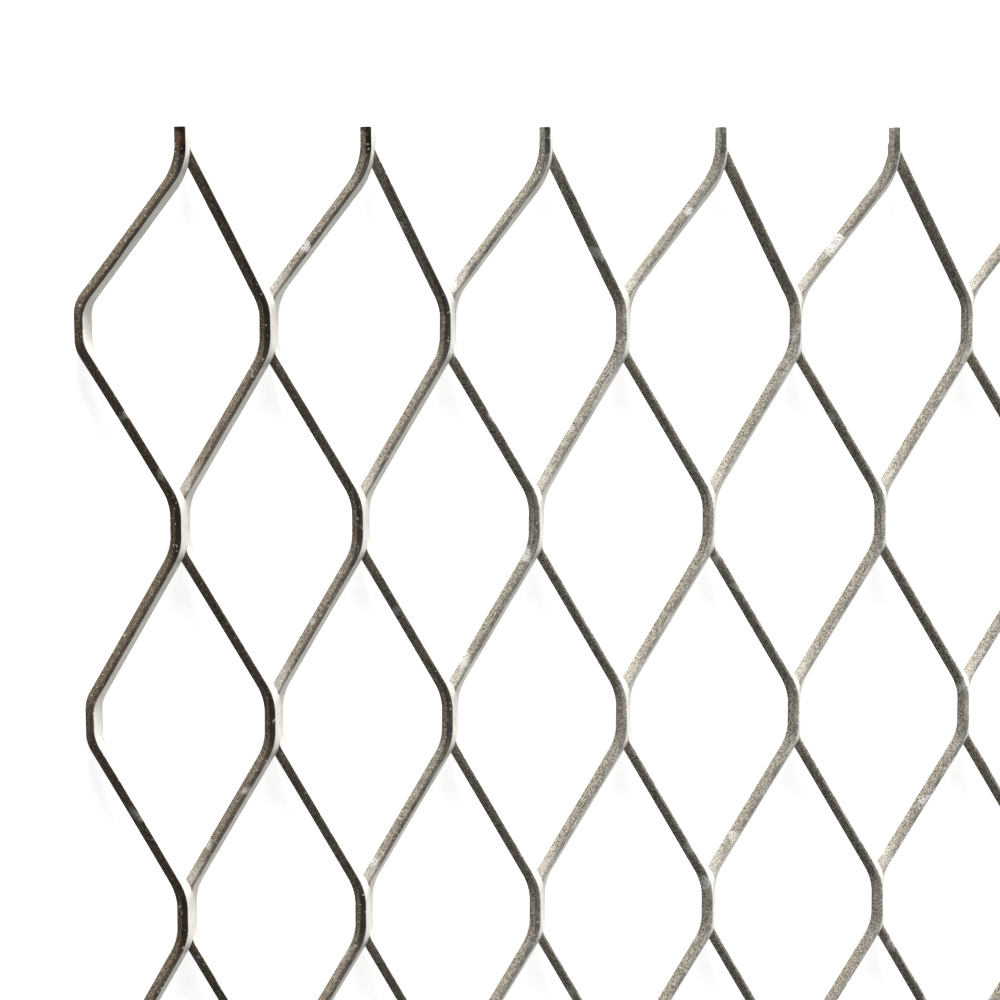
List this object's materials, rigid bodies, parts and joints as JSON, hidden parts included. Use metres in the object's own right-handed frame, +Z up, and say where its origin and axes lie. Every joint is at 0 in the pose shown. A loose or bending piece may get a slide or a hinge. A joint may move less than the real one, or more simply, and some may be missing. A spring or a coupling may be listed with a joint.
{
  "type": "expanded metal sheet",
  "caption": "Raised expanded steel sheet: slit and stretched strands joined at bonds into a flat mesh of open diamonds with sheared ends, for guards, grilles, shelves and reinforcement.",
  "frame": {"origin": "middle of the sheet's outline, on the floor under the lowest bonds", "axes": "X along the short way of the diamonds, Y along the long way of the diamonds, Z up through the sheet"},
  "size_m": [0.3094, 0.3048, 0.0057],
  "materials": {
    "steel": "bare mill steel, dull grey sheet faces, darker rough sheared edges, traces of rust"
  },
  "bodies": {
    "root": {"expanded_sheet": "steel"}
  },
  "joints": []
}
